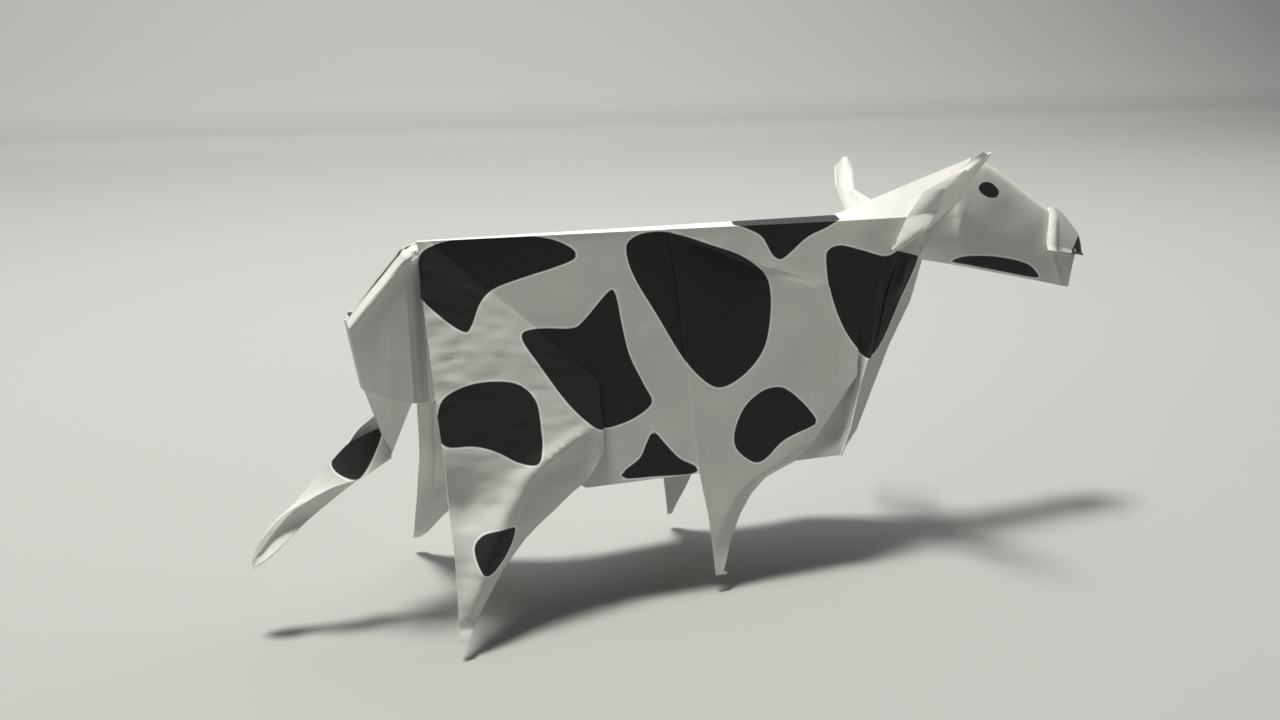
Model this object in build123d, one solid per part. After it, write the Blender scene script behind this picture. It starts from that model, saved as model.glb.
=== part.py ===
from build123d import *
import os
from math import acos, radians, tan

# A standing origami cow, folded from one square of white copy paper, in mm.
# While it is drawn, x runs from the hip to the nose, y across, and z up from the floor.

# Paper
ply = 0.1                    # one layer of the sheet
panel_plies = 2              # layers pressed together in the sides, rump and neck
leg_plies = 2                # layers in the outer half of each leg
hem_plies = 2                # layers in the hem inside each hind leg
head_plies = 3               # layers wrapped round in the head
nose_plies = 2               # layers in the pleat over the nose
ear_plies = 3                # layers in each ear
tail_plies = 3               # layers in the tail
mitre_limit = 0.45           # keeps a sharp fold from growing a spike

# Back and sides
back_height = 69.3           # floor to the ridge along the back
back_length = 84.8           # hip to the kink where the neck starts
hip_half = 0.6               # half width of the flat strip along the back, at the hip
shoulder_half = 3.6          # and at the shoulder
strip_drop = 0.7             # how far the strip slopes down to its edge crease
side_lean = 11.0             # degrees that each side leans out from upright
belly_height = 20.9          # floor to the free bottom edge of a side
belly_front = 81.4           # where the bottom edge ends under the chest
belly_back = 25.9            # where it goes in behind the hind leg
belly_middle = 49.0          # middle of the bottom edge, where the mesh of the side fans out

# Rump
rump_front = 2.6             # behind the hip, where the rump goes in behind the leg
rump_front_half = 0.8        # half width there, at the top
rump_front_drop = 0.1        # ridge of the back down to the rump's top edge there
rump_top_back = 5.8          # behind the hip, where the open top edge starts
rump_top_height = 68.2
rump_top_half = 1.3
rump_corner_back = 15.9      # the rearmost corner
rump_corner_height = 55.9
rump_half = 1.9              # half width along the rear fold
rump_low_back = 13.2         # bottom of the rear fold
rump_low_height = 42.2
rump_hem_height = 40.5       # lower crease, at the leg

# Tail: root on the web under the rump, then the upper and lower edges, going back and down
tail_base_back = 9.7         # lower point of the web, where the tail leaves
tail_base_height = 28.7
tail_base_half = 1.6
tail_root_rise = 8.3         # from there up to where the tail's top edge meets the web
tail_tuck = 0.5              # how far that edge reaches in through the web
tail_top_backs = (18.1, 23.8, 27.3, 31.4, 36.6)
tail_top_heights = (31.8, 26.2, 21.6, 18.1, 11.4)
tail_low_backs = (16.4, 20.8, 25.3, 29.6, 36.1)
tail_low_heights = (24.8, 21.2, 17.5, 14.0, 9.9)
tail_halves = (2.8, 2.7, 2.2, 1.8, 0.5)

# Hind legs
flap_crease_x = 29.9         # lower end of the slanting crease from the hip
flap_crease_height = 41.3
flap_top_drop = 0.3          # ridge of the back down to the top edge of the flap
hind_foot_out = 23.0         # centre line to the foot, where it meets the floor
hind_heel_back = 2.6         # rear edge of the foot, behind the hip
hind_foot_length = 2.3
hind_front_xs = (29.7, 25.9, 18.8, 12.2, 7.2, 3.4, 1.2)
hind_front_heights = (28.0, 22.8, 18.2, 14.2, 10.1, 5.6, 2.4)
hind_edge_bows = (0.1, 0.3, 0.9, 0.6)    # how far the rear edge bows forward, going down
hem_top_height = 59.6        # upper edge of the hem inside the leg
hem_low_height = 13.8        # and its lower edge
hem_inset = 2.4              # rear edge of the leg to the edge of that hem
hem_front_inset = 1.5        # and the same along the front edge
hem_gap = 0.25               # air between the leg and its hem
flap_out_near = 0.0          # extra spread of the near hind foot
flap_out_far = 0.4           # and of the far one

# Front legs
fore_top_x = 46.3            # upper rear corner, on the edge crease of the back
fore_top_drop = 1.0          # ridge of the back down to that corner
fore_lift = 0.5              # middle of the flap to the middle of the side under it
fore_foot_spread = 0.24      # where the side would meet the floor, out to the foot
fore_step_near = 0.0         # how far the near front leg is moved forward
fore_step_far = 2.5          # and the far one
fore_heel_x = 51.7
fore_foot_length = 2.0
fore_rear_xs = (47.2, 48.3, 49.5, 50.8)
fore_rear_drops = (7.4, 27.0, 47.9, 56.3)          # below the ridge of the back
fore_front_xs = (55.4, 58.2, 60.7, 64.2, 70.6, 75.2, 86.0)
fore_front_heights = (5.7, 11.4, 15.0, 18.1, 20.6, 24.8, 37.2)
fore_top_xs = (87.0, 80.2, 72.6, 64.8, 57.5)
fore_top_drops = (22.3, 13.1, 10.7, 7.9, 4.3)       # below the ridge of the back

# Neck and chest
neck_top_x = 118.6           # highest point of the neck, behind the forehead
neck_top_height = 80.0
hood_edge_xs = (99.2, 105.2, 110.6)
hood_edge_halves = (5.4, 4.4, 3.3)
hood_edge_heights = (68.9, 71.6, 74.6)
chest_fold_xs = (95.8, 91.8, 90.2, 87.0, 83.9)
chest_fold_heights = (62.3, 53.0, 44.0, 36.0, 26.0)
near_lapel_xs = (104.9, 102.2, 96.0, 90.6, 86.0)
near_lapel_heights = (59.8, 50.4, 41.6, 32.6, 25.6)
far_lapel_xs = (109.8, 105.0, 99.6, 93.6, 87.2)
far_lapel_heights = (57.2, 47.0, 36.9, 29.6, 23.4)
lapel_halves = (3.6, 3.9, 6.1, 8.6, 11.2)

# Ears
ear_reach = 24.8             # centre line to either ear tip
near_tip_x = 103.5
near_tip_height = 84.5
near_crease_xs = (98.1, 99.8, 100.9)
near_crease_heights = (64.3, 67.6, 72.4)
near_crease_outs = (7.6, 9.8, 14.6)
near_upper_xs = (97.4, 98.0, 101.4)
near_upper_heights = (69.0, 75.7, 80.4)
near_upper_outs = (8.0, 14.0, 19.0)
near_lower_xs = (104.4, 103.3, 103.4)
near_lower_heights = (67.7, 72.2, 77.6)
near_lower_outs = (8.6, 13.8, 19.6)
far_tip_x = 102.2
far_tip_height = 78.6
far_crease_xs = (98.4, 97.6, 98.6)
far_crease_heights = (65.0, 70.4, 74.4)
far_crease_outs = (7.6, 12.6, 17.6)
far_upper_xs = (94.0, 92.6, 96.4)
far_upper_heights = (66.4, 70.6, 76.4)
far_upper_outs = (7.4, 13.0, 20.6)
far_lower_xs = (104.4, 101.0, 101.8)
far_lower_heights = (67.7, 71.6, 75.0)
far_lower_outs = (6.4, 13.2, 20.0)

# Head
head_top_xs = (116.2, 121.4, 125.2, 140.8)
head_top_heights = (79.2, 78.9, 77.0, 67.0)
brow_back = 0.6              # first point of that edge back to where the head opens out
brow_half = 1.0
brow_drop = 1.2
jaw_xs = (103.4, 111.7, 135.8, 145.0)
jaw_halves = (3.6, 4.1, 3.6, 2.3)
jaw_heights = (59.6, 57.9, 52.3, 49.6)
cheek_x = 123.0
cheek_half = 4.3
cheek_height = 66.0
head_back_xs = (112.6, 104.6)
head_back_halves = (2.7, 3.0)
head_back_heights = (71.0, 66.5)
chin_front_x = 147.6
chin_front_half = 1.4
chin_front_height = 56.6
nose_top_xs = (139.7, 143.7, 149.6, 151.0)
nose_top_heights = (68.1, 67.5, 61.7, 58.4)
nose_shoulder_half = 2.4     # half width where the rolled edge turns down, under the top
nose_shoulder_drop = 1.6
nose_fold_x = 138.3          # lower end of the rolled edge behind the nose
nose_fold_half = 4.9
nose_fold_height = 59.6
nose_front_x = 149.6
nose_front_half = 1.9
nose_front_height = 56.5


def side_out(x, z):
    """Half width between the sides at a place along the back and a height."""
    widen = (shoulder_half - hip_half) * x / back_length
    return hip_half + widen + (back_height - strip_drop - z) * tan(radians(side_lean))


def through(p, q, r):
    """The plane through three points (x, out, z), as a function from x and z to out."""
    (x1, o1, z1), (x2, o2, z2), (x3, o3, z3) = p, q, r
    det = (x2 - x1) * (z3 - z1) - (x3 - x1) * (z2 - z1)
    by_x = ((o2 - o1) * (z3 - z1) - (o3 - o1) * (z2 - z1)) / det
    by_z = ((x2 - x1) * (o3 - o1) - (x3 - x1) * (o2 - o1)) / det
    return lambda x, z: o1 + by_x * (x - x1) + by_z * (z - z1)


def on_side(side, points):
    """Points (x, out, z) set on the near side (-1) or the far side (1)."""
    return [(x, side * out, z) for x, out, z in points]


def triangles(panels):
    """Each panel split into triangles that share its first corner."""
    cut = []
    for panel in panels:
        corners = [tuple(round(c, 4) for c in point) for point in panel]
        cut += [(corners[0], corners[i], corners[i + 1]) for i in range(1, len(corners) - 1)]
    return cut


def rim(triangle):
    """The three directed edges of a triangle."""
    return [(triangle[i], triangle[(i + 1) % 3]) for i in range(3)]


def turned_alike(loose):
    """The same triangles, turned over where needed so that neighbours face one way."""
    done, waiting = [loose[0]], loose[1:]
    edges = set(rim(loose[0]))
    while waiting:
        for triangle in waiting:
            turned = triangle[::-1]
            if any((b, a) in edges for a, b in rim(triangle)):
                chosen = triangle
            elif any((b, a) in edges for a, b in rim(turned)):
                chosen = turned
            else:
                continue
            waiting.remove(triangle)
            done.append(chosen)
            edges.update(rim(chosen))
            break
        else:
            raise ValueError("a panel shares no edge with the rest of its sheet")
    return done


def corner_angle(at, one, other):
    """Angle of a triangle at one of its corners, in radians."""
    a = (Vector(one) - Vector(at)).normalized()
    b = (Vector(other) - Vector(at)).normalized()
    return acos(max(-1.0, min(1.0, a.dot(b))))


def mitres(faces, half):
    """For each corner point, the step from the middle of the sheet to its upper face.

    On the floor the step is level, so that a foot ends in a flat underside.
    """
    normals = {}
    for a, b, c in faces:
        normal = (Vector(b) - Vector(a)).cross(Vector(c) - Vector(a)).normalized()
        for at, one, other in ((a, b, c), (b, c, a), (c, a, b)):
            normals.setdefault(at, []).append((normal, corner_angle(at, one, other)))
    steps = {}
    for point, around in normals.items():
        mean = Vector(0, 0, 0)
        for normal, angle in around:
            mean = mean + normal * angle
        mean = mean.normalized()
        tightest = min(mean.dot(normal) for normal, _ in around)
        step = mean * (half / max(tightest, mitre_limit))
        on_floor = point[2] == 0
        steps[point] = Vector(step.X, step.Y, 0) if on_floor else step
    return steps


def sheet(panels, plies):
    """Closed solid of a creased sheet, from panels given by the corners of its middle."""
    faces = turned_alike(triangles(panels))
    steps = mitres(faces, plies * ply / 2)
    upper = {point: Vector(point) + step for point, step in steps.items()}
    lower = {point: Vector(point) - step for point, step in steps.items()}
    skin = [[upper[p] for p in face] for face in faces]
    skin += [[lower[p] for p in reversed(face)] for face in faces]
    edges = {edge for face in faces for edge in rim(face)}
    for a, b in sorted(edges):
        if (b, a) not in edges:
            skin += [[upper[b], upper[a], lower[a]], [upper[b], lower[a], lower[b]]]
    walls = [Face(Wire.make_polygon(corners, close=True)) for corners in skin]
    return Solid(Shell(walls))


def ridge(x):
    """Point on the ridge of the back."""
    return (x, 0, back_height)


def crease(x):
    """Point (x, out, z) on the crease between the strip along the back and a side."""
    share = x / back_length
    return (x, hip_half + (shoulder_half - hip_half) * share, back_height - strip_drop * share)


def side_points(side):
    """Corners of one side, from the hip forward along the top and back along the belly."""
    fold = [(x, side_out(x, z), z) for x, z in zip(chest_fold_xs, chest_fold_heights)]
    low = [(x, side_out(x, belly_height), belly_height)
           for x in (belly_front, belly_middle, belly_back)]
    top = [crease(0), crease(back_length)]
    hood = list(zip(hood_edge_xs, hood_edge_halves, hood_edge_heights))
    behind = [(-rump_front, side_out(-rump_front, rump_hem_height), rump_hem_height),
              (-rump_front, rump_front_half, back_height - rump_front_drop)]
    return [on_side(side, points) for points in (top, hood, fold, low, behind)]


def lapel(side):
    """Front edge of the chest strip that is folded in from one side."""
    xs, heights = near_lapel_xs, near_lapel_heights
    if side > 0:
        xs, heights = far_lapel_xs, far_lapel_heights
    return on_side(side, zip(xs, lapel_halves, heights))


def body():
    """Back strip, sides, rump, neck hood and chest strips, as one creased sheet."""
    panels = []
    neck_top = (neck_top_x, 0, neck_top_height)
    for side in (-1, 1):
        top, hood, fold, low, behind = side_points(side)
        edge = lapel(side)
        panels.append([ridge(0), ridge(back_length), top[1], top[0]])
        panels.append([ridge(back_length), neck_top, *hood[::-1], top[1]])
        panels.append([low[1], low[2], *behind, *top, hood[0], *fold, low[0]])
        panels.append([ridge(0), top[0], behind[1]])
        for i in range(len(fold) - 1):
            panels.append([fold[i], edge[i], edge[i + 1], fold[i + 1]])
        panels.append([fold[-1], edge[-1], low[0]])
        panels += rump(side, behind)
    return sheet(panels, panel_plies)


def rump(side, behind):
    """One side of the rump, half of its rear fold and half of the web under it."""
    upper, corner, low, base = on_side(side, [
        (-rump_top_back, rump_top_half, rump_top_height),
        (-rump_corner_back, rump_half, rump_corner_height),
        (-rump_low_back, rump_half, rump_low_height),
        (-tail_base_back, tail_base_half, tail_base_height)])
    middle_corner = (corner[0], 0, corner[2])
    middle_low = (low[0], 0, low[2])
    middle_base = (base[0], 0, base[2])
    return [[behind[0], behind[1], upper, corner, low],
            [corner, middle_corner, middle_low, low],
            [behind[0], low, base], [low, middle_low, middle_base, base]]


def hind_leg(side, spread):
    """Flap folded out along the slanting crease, ending in the hind foot."""
    foot = (-hind_heel_back, hind_foot_out + spread, 0)
    top_height = back_height - flap_top_drop
    plane = through((0, hip_half, top_height),
                    (flap_crease_x, side_out(flap_crease_x, flap_crease_height),
                     flap_crease_height), foot)
    rear = []
    levels = len(hind_edge_bows) + 1
    for i, bow in enumerate(hind_edge_bows, 1):
        z = back_height * (1 - i / levels)
        rear.append((-hind_heel_back + bow, z))
    outline = [(-hind_heel_back, top_height), (0, top_height), (flap_crease_x, flap_crease_height)]
    outline += list(zip(hind_front_xs, hind_front_heights))
    outline += [(hind_foot_length - hind_heel_back, 0), (-hind_heel_back, 0)]
    outline += rear[::-1]
    start = outline.index(rear[2])      # the corner that every triangle of the flap shares
    corners = [(x, plane(x, z), z) for x, z in outline[start:] + outline[:start]]
    flap = sheet([on_side(side, corners)], leg_plies)
    return [flap, hind_hem(side, plane)]


def hind_hem(side, plane):
    """Inner layer of the hind leg, which stops short of the foot."""
    back = hem_inset - hind_heel_back
    under = hem_gap + (leg_plies + hem_plies) * ply / 2
    front = list(zip(hind_front_xs, hind_front_heights))
    outline = [(back, hem_top_height), (back, hem_low_height)]
    for x, z in (front[3], front[1], front[0], (flap_crease_x, flap_crease_height)):
        outline.append((x - hem_front_inset, z + hem_front_inset))
    corners = [(x, plane(x, z) - under, z) for x, z in outline]
    return sheet([on_side(side, corners)], hem_plies)


def front_leg(side, step):
    """Flap laid over the side, from the back down to the front foot.

    It grows out of the side at three joined corners and is free along its other edges.
    """
    lower = (fore_front_xs[-1], fore_front_heights[-1])
    plane = through((fore_top_x, side_out(fore_top_x, back_height) + fore_lift, back_height),
                    (lower[0], side_out(*lower) + fore_lift, lower[1]),
                    (fore_heel_x, side_out(fore_heel_x, 0) + fore_foot_spread, 0))
    rear = [(x, back_height - drop) for x, drop in zip(fore_rear_xs, fore_rear_drops)]
    upper = [(x, back_height - drop) for x, drop in zip(fore_top_xs, fore_top_drops)]
    joined = [(fore_top_x, back_height - fore_top_drop), lower, upper[0]]
    outline = [joined[0], *rear, (fore_heel_x, 0), (fore_heel_x + fore_foot_length, 0)]
    outline += [*zip(fore_front_xs, fore_front_heights), *upper]
    start = outline.index(rear[2])      # the corner that every triangle of the flap shares
    corners = []
    for x, z in outline[start:] + outline[:start]:
        out = side_out(x, z) if (x, z) in joined else plane(x, z)
        low = max(0, 1 - z / belly_height)
        corners.append((x + step * low, out, z))
    return sheet([on_side(side, corners)], leg_plies)


def web_back(z):
    """How far behind the hip the rear edge of the web under the rump lies, at a height."""
    share = (z - tail_base_height) / (rump_low_height - tail_base_height)
    return tail_base_back + (rump_low_back - tail_base_back) * share


def tail():
    """Narrow strip folded along its top, flicked back and down."""
    panels = []
    root_height = tail_base_height + tail_root_rise
    top = [(tail_tuck - web_back(root_height), 0, root_height)]
    top += [(-x, 0, z) for x, z in zip(tail_top_backs, tail_top_heights)]
    for side in (-1, 1):
        low = [(-tail_base_back, side * tail_base_half, tail_base_height)]
        low += [(-x, side * half, z)
                for x, half, z in zip(tail_low_backs, tail_halves, tail_low_heights)]
        for i in range(len(top) - 1):
            panels.append([top[i], top[i + 1], low[i + 1], low[i]])
    return sheet(panels, tail_plies)


def ear(side):
    """Folded leaf that turns up and out from the top of the chest strip."""
    if side < 0:
        tip = (near_tip_x, ear_reach, near_tip_height)
        crease_line = zip(near_crease_xs, near_crease_outs, near_crease_heights)
        upper = zip(near_upper_xs, near_upper_outs, near_upper_heights)
        lower = zip(near_lower_xs, near_lower_outs, near_lower_heights)
    else:
        tip = (far_tip_x, ear_reach, far_tip_height)
        crease_line = zip(far_crease_xs, far_crease_outs, far_crease_heights)
        upper = zip(far_upper_xs, far_upper_outs, far_upper_heights)
        lower = zip(far_lower_xs, far_lower_outs, far_lower_heights)
    tip, *rest = on_side(side, [tip, *crease_line, *upper, *lower])
    middle, upper, lower = rest[:3], rest[3:6], rest[6:]
    fold_x, fold_z = chest_fold_xs[0], chest_fold_heights[0]
    root = (fold_x, side * side_out(fold_x, fold_z), fold_z)
    front = lapel(side)[0]
    panels = [[root, front, lower[0], middle[0]], [root, middle[0], upper[0]]]
    for i in range(2):
        panels.append([middle[i], middle[i + 1], upper[i + 1], upper[i]])
        panels.append([middle[i], middle[i + 1], lower[i + 1], lower[i]])
    panels += [[middle[2], tip, upper[2]], [middle[2], tip, lower[2]]]
    return sheet(panels, ear_plies)


def head():
    """Head folded along its top and open under the jaw."""
    panels = []
    top = [(x, 0, z) for x, z in zip(head_top_xs, head_top_heights)]
    for side in (-1, 1):
        jaw = on_side(side, zip(jaw_xs, jaw_halves, jaw_heights))
        back = on_side(side, zip(head_back_xs, head_back_halves, head_back_heights))
        front, cheek, brow = on_side(side, [
            (chin_front_x, chin_front_half, chin_front_height),
            (cheek_x, cheek_half, cheek_height),
            (head_top_xs[0] - brow_back, brow_half, head_top_heights[0] - brow_drop)])
        panels.append([cheek, *jaw, front, *top[::-1], brow, *back, jaw[0]])
    return sheet(panels, head_plies)


def nose():
    """Pleat wrapped over the front of the head, with its rolled rear edge."""
    panels = []
    top = [(x, 0, z) for x, z in zip(nose_top_xs, nose_top_heights)]
    for side in (-1, 1):
        roll, front, shoulder = on_side(side, [
            (nose_fold_x, nose_fold_half, nose_fold_height),
            (nose_front_x, nose_front_half, nose_front_height),
            (nose_top_xs[0], nose_shoulder_half, nose_top_heights[0] - nose_shoulder_drop)])
        panels.append([roll, front, *top[::-1], shoulder])
    return sheet(panels, nose_plies)


def cow():
    """All folded panels joined into the one sheet, standing on its four feet."""
    parts = [body(), tail(), head(), nose()]
    for side, spread, step in ((-1, flap_out_near, fore_step_near), (1, flap_out_far, fore_step_far)):
        parts += [*hind_leg(side, spread), front_leg(side, step), ear(side)]
    return parts[0].fuse(*parts[1:])


os.makedirs("parts", exist_ok=True)
whole = cow()
solids = whole.solids()
print("solids", len(solids), [round(s.volume, 1) for s in solids])
box = whole.bounding_box()
folded = Pos(-(box.min.X + box.max.X) / 2, -(box.min.Y + box.max.Y) / 2, 0) * whole
export_step(folded, "parts/folded_sheet.step")
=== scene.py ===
"""Looks of the folded paper cow: creased sheets, printed patches, paper finishes, floor, light, camera.

Everything is drawn in millimetres in the folder's own frame: x runs from the hip to the nose,
out is the distance from the centre line, and z is the height above the floor.
"""

import logging
import math
from dataclasses import dataclass, field
from enum import Enum
from typing import Callable, Iterable, Sequence

import bpy
import numpy as np
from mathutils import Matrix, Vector, noise


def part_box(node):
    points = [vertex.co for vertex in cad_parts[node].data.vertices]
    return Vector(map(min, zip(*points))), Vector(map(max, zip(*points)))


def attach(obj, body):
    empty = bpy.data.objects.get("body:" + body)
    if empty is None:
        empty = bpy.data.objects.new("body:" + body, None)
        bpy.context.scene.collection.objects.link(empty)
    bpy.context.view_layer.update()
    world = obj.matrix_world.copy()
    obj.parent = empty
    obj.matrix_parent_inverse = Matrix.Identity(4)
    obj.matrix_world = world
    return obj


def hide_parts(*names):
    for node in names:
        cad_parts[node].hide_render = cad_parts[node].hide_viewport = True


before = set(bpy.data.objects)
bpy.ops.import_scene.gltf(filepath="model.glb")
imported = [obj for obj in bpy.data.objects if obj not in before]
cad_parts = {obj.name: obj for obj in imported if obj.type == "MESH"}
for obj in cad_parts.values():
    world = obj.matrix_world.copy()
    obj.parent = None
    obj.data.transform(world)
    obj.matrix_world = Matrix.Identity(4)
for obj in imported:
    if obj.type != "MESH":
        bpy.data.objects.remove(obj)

LOG = logging.getLogger("paper_cow")
NODE = "folded_sheet"
BODY = "root"
MM = 0.001
TAIL_TIP_X = -36.83          # rearmost point of the sheet, from the hip
GRID_STEP = 0.85             # spacing of the mesh on a panel, fine enough for a clean printed edge
OUTWARD = (0, 1, 0)          # ways that a printed face can look, as (x, out, z)
UPWARD = (0, 0, 1)
UNPRINTED = 9.0              # print distance given to paper that carries no print
NO_RING = 6.0                # stretches the distance round a shape until its pale line is too thin to show
MITRE_LIMIT = 0.55           # keeps a sharp fold from growing a spike
WELDS_PER_MM = 2000          # points that agree when rounded to this fineness are one point
FLOOR_BAND = 0.05            # points lower than this, in mm, keep their height when the sheet is thickened
TINY = 1e-9                  # keeps a division away from zero, and allows for rounding of a height

Point = tuple[float, float, float]
Flat = tuple[float, float]
Window = tuple[float, float, float, float]
Line = Sequence[Point]
Outline = Sequence[Flat]
Socket = bpy.types.NodeSocket
Tree = bpy.types.NodeTree
Array = np.ndarray
Piece = bpy.types.Object


class Side(Enum):
    """The two sides of the cow, and the sign of y on each."""

    NEAR = -1
    FAR = 1


def linear(code: str) -> tuple[float, float, float, float]:
    """Turn an sRGB hex colour into linear light.

    Args:
        code: Colour such as "#f2f1ec".

    Returns:
        Red, green, blue and an alpha of one.
    """
    parts = [int(code[i:i + 2], 16) / 255 for i in (1, 3, 5)]
    red, green, blue = [c / 12.92 if c <= 0.04045 else ((c + 0.055) / 1.055) ** 2.4 for c in parts]
    return red, green, blue, 1.0


def smooth(points: Outline | Line, per_span: int = 6, closed: bool = False) -> Array:
    """Round curve through points, as Catmull-Rom spans.

    Args:
        points: Corner points that the curve passes through.
        per_span: New points on each span.
        closed: Whether the last point joins the first.

    Returns:
        Array of points along the curve.
    """
    p = np.asarray(points, float)
    if closed:
        p = np.vstack([p[-1], p, p[0], p[1]])
    else:
        p = np.vstack([2 * p[0] - p[1], p, 2 * p[-1] - p[-2]])
    made = []
    for a, b, c, d in zip(p, p[1:], p[2:], p[3:]):
        for t in np.arange(per_span) / per_span:
            made.append(0.5 * (2 * b + (c - a) * t + (2 * a - 5 * b + 4 * c - d) * t ** 2
                               + (3 * b - a - 3 * c + d) * t ** 3))
    if not closed:
        made.append(p[-2])
    return np.array(made)


def ease(value: Array, low: float, high: float) -> Array:
    """Smooth step of a value from 0 at low to 1 at high."""
    t = np.clip((value - low) / (high - low), 0, 1)
    return t * t * (3 - 2 * t)


def fade(value: Array, low: float, high: float) -> Array:
    """Smooth step of a value from 1 at low to 0 at high."""
    return 1 - ease(value, low, high)


def band(value: Array, window: Window) -> Array:
    """Smooth rise from 0 to 1 between a window's first two values, and back to 0 between its last two."""
    return ease(value, window[0], window[1]) * fade(value, window[2], window[3])


def hump(value: Array, centre: float, width: float) -> Array:
    """Bell-shaped rise from 0 to 1 and back, centred on a value."""
    return np.exp(-((value - centre) / width) ** 2)


def arch(share: Array) -> Array:
    """Rise from 0 to 1 and back to 0 as a share goes from 0 to 1."""
    return np.sin(np.pi * share)


def follow(line: Outline, where: Array) -> Array:
    """Second value of a line of pairs, at each first value."""
    return np.interp(where, *zip(*line))


@dataclass(frozen=True)
class Ripple:
    """A pattern of soft random swells in the paper, the same on every run."""

    depth: float  # greatest height, in mm
    size: float  # width of one swell, in mm
    seed: float  # chooses the pattern
    along: float = 1.0  # less than 1 draws the swells out along the cow
    up: float = 1.0  # more than 1 makes them lower than they are long

    def at(self, x: Array, z: Array, shift: float = 0.0) -> Array:
        """Height of the swells.

        Args:
            x: Distance along the cow, one for each place.
            z: Height of each place.
            shift: Step to another pattern, so that the two sides of the cow differ.

        Returns:
            One height in mm for each place.
        """
        pairs = zip((x * self.along).ravel() / self.size, (z * self.up).ravel() / self.size)
        flat = [noise.noise(Vector((a, b, self.seed + shift))) for a, b in pairs]
        return self.depth * np.array(flat).reshape(x.shape)


@dataclass(frozen=True)
class Spot:
    """A soft round place on a panel: its middle and its reach along x and up z, in mm."""

    x: float
    z: float
    wide: float
    tall: float

    def share(self, x: Array, z: Array) -> Array:
        """How strongly the place is felt, from 1 at its middle to 0 far off."""
        return hump(x, self.x, self.wide) * hump(z, self.z, self.tall)


def distance_to(outline: Array, x: Array, z: Array) -> Array:
    """Distance from places to a closed outline, less than zero inside it.

    Args:
        outline: Points round the outline.
        x: Distance along the cow, one for each place.
        z: Height of each place.

    Returns:
        Distance in mm for each place.
    """
    place = np.column_stack([x.ravel(), z.ravel()])
    start, end = outline, np.roll(outline, -1, axis=0)
    best = np.full(len(place), np.inf)
    inside = np.zeros(len(place), bool)
    for a, b in zip(start, end):
        run = b - a
        share = np.clip(((place - a) @ run) / max(run @ run, TINY), 0, 1)
        best = np.minimum(best, np.linalg.norm(place - a - share[:, None] * run, axis=1))
        crosses = (a[1] > place[:, 1]) != (b[1] > place[:, 1])
        if a[1] != b[1]:
            at = a[0] + (place[:, 1] - a[1]) * run[0] / run[1]
            inside ^= crosses & (place[:, 0] < at)
    return np.where(inside, -best, best).reshape(x.shape)


@dataclass(frozen=True)
class Patch:
    """One printed shape, as an outline of (x, z) corner points in mm with round corners."""

    name: str
    outline: Outline
    ringed: bool = True  # whether the pale line runs round it

    def distance(self, x: Array, z: Array) -> Array:
        """Distance in mm from places to the edge of the print, less than zero on it."""
        away = distance_to(smooth(self.outline, closed=True), x, z)
        return away if self.ringed else away * NO_RING

    def moved(self, name: str, by: Flat, flip_at: float | None = None) -> "Patch":
        """The same shape somewhere else.

        Args:
            name: Name of the new patch.
            by: Step along x and z.
            flip_at: Place along x about which the shape is turned over first, if any.

        Returns:
            The new patch.
        """
        points = self.outline if flip_at is None else [(2 * flip_at - x, z) for x, z in self.outline]
        return Patch(name, tuple((x + by[0], z + by[1]) for x, z in points), self.ringed)


HIP = Patch("hip", (
    (-1.5, 67.8), (5.5, 69.5), (14, 69.6), (22, 68.6), (26.6, 66.5), (27, 64.6), (23, 63.2), (16, 61.5),
    (11, 60), (8, 57.8), (5.8, 53.8), (4.2, 53), (0.5, 55.8), (-3, 59.8), (-3.4, 64)))
STAR = Patch("star", (
    (33.6, 58.2), (34.8, 56.5), (35.4, 52), (36.6, 45.5), (39.2, 39.5), (40.6, 36), (37.5, 33.6),
    (33.5, 32.3), (30.3, 32), (27.5, 33.2), (23, 38), (18, 45.8), (15.5, 50), (16, 51.8), (20, 52),
    (25.5, 51.6), (28, 53)))
THIGH = Patch("thigh", (
    (-2.6, 36), (-2.1, 39.6), (-0.6, 42), (4, 43.6), (9.5, 43.6), (14, 42.3), (16.8, 39), (17.2, 34),
    (16.9, 30), (15.4, 27.9), (12, 28.7), (8, 31.2), (4, 32.7), (-1.2, 33.4)))
BELLY = Patch("belly", (
    (40.5, 30.2), (42.6, 27.8), (45.5, 24.4), (49, 22.3), (48, 21), (40, 21.4), (33.6, 21.8), (34, 23.3),
    (37.3, 25.4), (38.9, 28.2)))
SHOULDER = Patch("shoulder", (
    (37.4, 65.5), (38.6, 67.6), (42, 68.6), (47, 68.3), (54, 66), (61, 63.3), (65.8, 59.8), (67.2, 56),
    (66.8, 50), (65, 44.3), (61, 40), (56, 37.6), (52.5, 38.6), (48, 43.5), (42.8, 52.8), (38.6, 60.5)))
RIDGE = Patch("ridge", (
    (60.5, 69.4), (64, 71), (72, 71.5), (82, 71), (85, 69.8), (81.5, 67.8), (76.5, 65.9), (72.4, 63),
    (70.2, 61.8), (68.4, 62.8), (66.4, 66.4), (63.5, 68.1)))
NECK = Patch("neck", (
    (80.4, 60.5), (81, 63), (84, 63.8), (89, 62.5), (94.5, 61), (99, 62.6), (103.4, 64.6), (104.2, 62.5),
    (102.6, 57.6), (98.5, 50.5), (94, 43.6), (90, 40.4), (87.5, 41.4), (83.5, 47), (81, 54)))
ELBOW = Patch("elbow", (
    (67.8, 36.5), (70.5, 35.2), (74, 31.8), (76, 28.8), (75, 27.8), (70.5, 26.4), (67.5, 25), (64, 22.2),
    (61.3, 21.9), (57.9, 24.8), (57.6, 28.3), (60, 33), (64, 35.9)))
SHANK = Patch("shank", (
    (1.9, 14.2), (2.6, 16.2), (5, 17.4), (9.6, 17.6), (9.8, 16), (8.2, 13.2), (5.4, 10.6), (3, 10.6)))
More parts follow.
